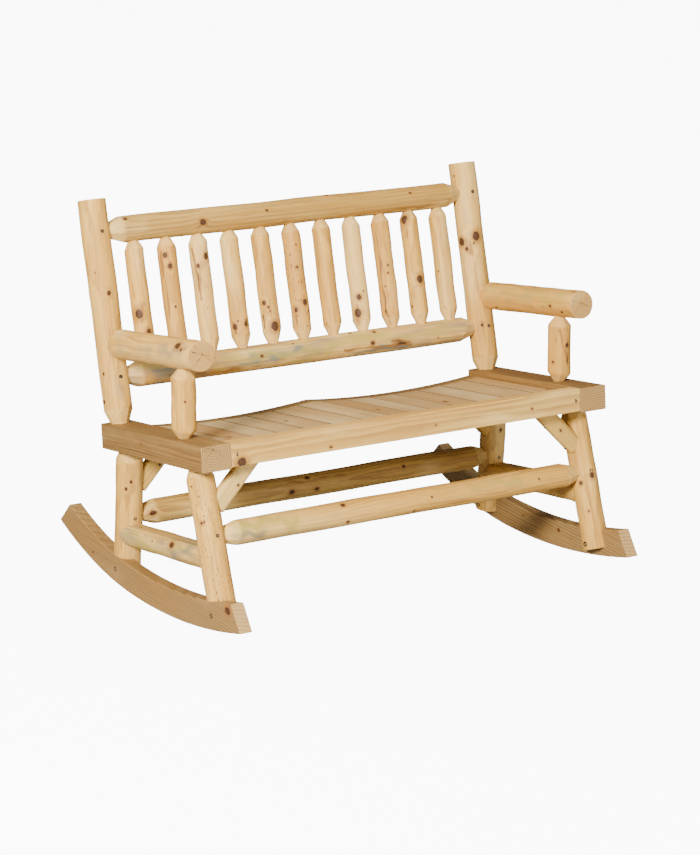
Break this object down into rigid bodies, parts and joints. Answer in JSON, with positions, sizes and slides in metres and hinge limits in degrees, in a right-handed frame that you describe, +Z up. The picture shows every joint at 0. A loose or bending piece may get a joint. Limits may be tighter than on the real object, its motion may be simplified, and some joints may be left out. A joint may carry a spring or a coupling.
{
  "type": "double rocking chair",
  "caption": "Two-seat rocking bench of peeled logs with sawn rockers, a double-scooped plank seat, a leaning spindle back and log armrests.",
  "frame": {"origin": "on the floor under the middle of the bounding box of the bench at rest on its rockers", "axes": "+Z up, +X along the seat towards the sitter's left, the front faces -Y"},
  "size_m": [1.144, 0.847, 0.897],
  "materials": {
    "log": "peeled and oiled, satin",
    "split_log": "split and sanded, satin",
    "sawn_pale": "sawn and oiled, satin",
    "sawn_tan": "sawn and oiled, satin",
    "plank": "sawn and oiled, satin",
    "steel": "zinc plated"
  },
  "bodies": {
    "root": {"rocker_left": "sawn_pale", "front_leg_left": "log", "back_leg_left": "log", "side_stretcher_left": "log", "front_brace_left": "split_log", "back_brace_left": "split_log", "side_rail_left": "sawn_tan", "back_post_left": "log", "armrest_left": "log", "arm_support_left": "log", "rocker_right": "sawn_pale", "front_leg_right": "log", "back_leg_right": "log", "side_stretcher_right": "log", "front_brace_right": "split_log", "back_brace_right": "split_log", "side_rail_right": "sawn_tan", "back_post_right": "log", "armrest_right": "log", "arm_support_right": "log", "front_stretcher": "log", "back_stretcher": "log", "front_rail": "sawn_pale", "back_rail": "sawn_tan", "front_ledger": "sawn_tan", "back_ledger": "sawn_tan", "top_back_rail": "log", "lower_back_rail": "log", "seat_plank_01": "plank", "seat_plank_02": "plank", "seat_plank_03": "plank", "seat_plank_04": "plank", "seat_plank_05": "plank", "seat_plank_06": "plank", "seat_plank_07": "plank", "seat_plank_08": "plank", "seat_plank_09": "plank", "seat_plank_10": "plank", "seat_plank_11": "plank", "seat_plank_12": "plank", "seat_plank_13": "plank", "seat_plank_14": "plank", "spindle_01": "log", "spindle_02": "log", "spindle_03": "log", "spindle_04": "log", "spindle_05": "log", "spindle_06": "log", "spindle_07": "log", "spindle_08": "log", "spindle_09": "log", "spindle_10": "log", "spindle_11": "log", "rocker_bolts": "steel", "rocker_nuts": "steel", "tenon_screws": "steel", "toe_screws": "steel", "brace_screws": "steel", "arm_screws": "steel", "plank_screws": "steel"}
  },
  "joints": []
}
